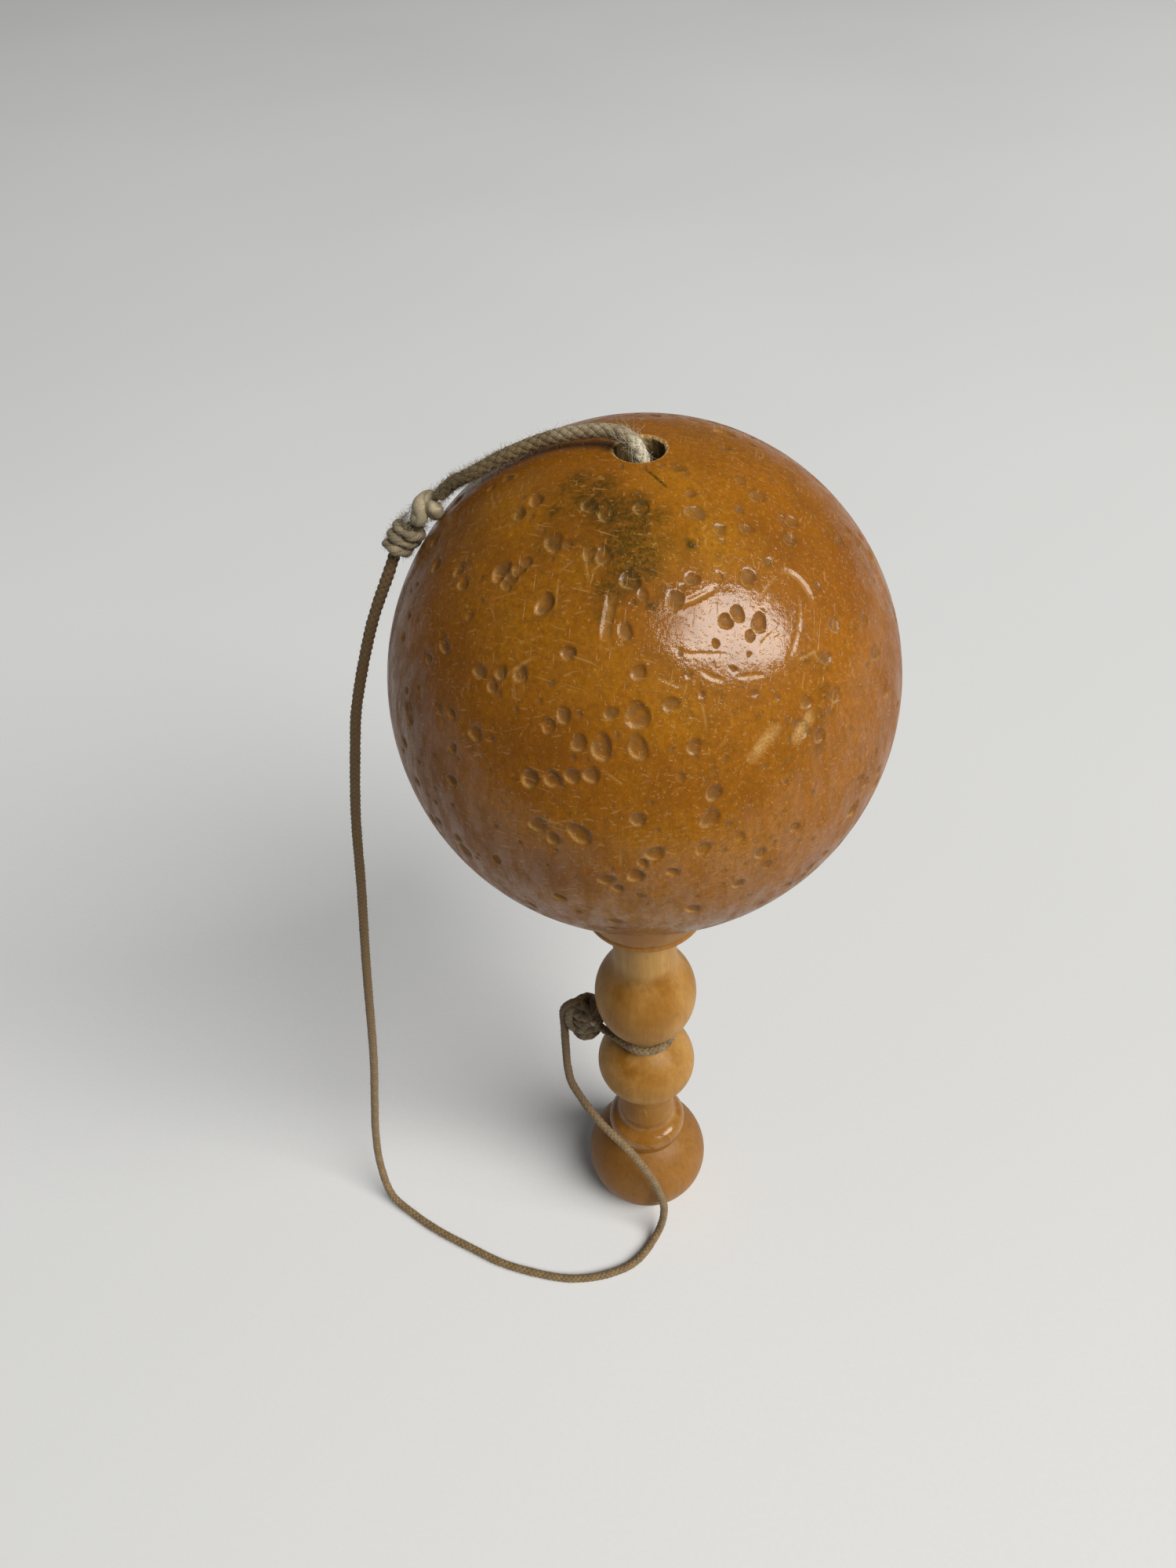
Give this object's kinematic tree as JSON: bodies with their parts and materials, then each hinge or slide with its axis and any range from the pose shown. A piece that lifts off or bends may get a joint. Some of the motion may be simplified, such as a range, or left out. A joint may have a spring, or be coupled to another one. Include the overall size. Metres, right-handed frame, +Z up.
{
  "type": "cup and ball game",
  "caption": "Turned wooden cup and ball game: a dented, bored ball that lifts off a spiked cup on a beaded handle, tied to the handle's groove by a thick and a thin braided cord.",
  "frame": {"origin": "middle of the foot's flat underside, on the handle's axis", "axes": "+Z up along the handle's axis, -Y towards the picture's camera, and the cord lies on the -X side"},
  "size_m": [0.1085, 0.08, 0.2079],
  "materials": {
    "brown_wood": "satin varnish",
    "honey_wood": "satin varnish",
    "cup_wood": "satin varnish",
    "spike_wood": "worn bare wood",
    "amber_wood": "worn gloss varnish",
    "pale_cord": "braided",
    "thick_cord": "braided, frayed",
    "splice_strands": "twisted strands",
    "whipping": "wound thread, frayed",
    "thin_cord": "braided",
    "knot_cord": "braided, soiled",
    "loop_cord": "braided, soiled"
  },
  "bodies": {
    "handle": {"foot": "brown_wood", "grip": "honey_wood", "cup": "cup_wood", "spike": "spike_wood"},
    "cord_lower": {"groove_loop": "loop_cord", "handle_knot": "knot_cord", "play_cord": "thin_cord"},
    "cord_upper": {"ball_cord": "thick_cord", "splice_eye": "splice_strands", "splice_whipping": "whipping", "stop_knot": "pale_cord"},
    "ball": {"ball": "amber_wood"}
  },
  "joints": [
    {"name": "cord_turn", "type": "hinge", "parent": "handle", "child": "cord_lower", "pos_m": [0, 0, 0.06445], "axis": [0, 0, 1], "continuous": true},
    {"name": "ball_lift", "type": "slide", "parent": "cord_lower", "child": "cord_upper", "axis": [0, 0, 1], "range_m": [0, 0.05], "deforming": ["play_cord"]},
    {"name": "ball_spin", "type": "hinge", "parent": "cord_upper", "child": "ball", "pos_m": [0, 0, 0.1639], "axis": [0, 0, 1], "continuous": true}
  ]
}
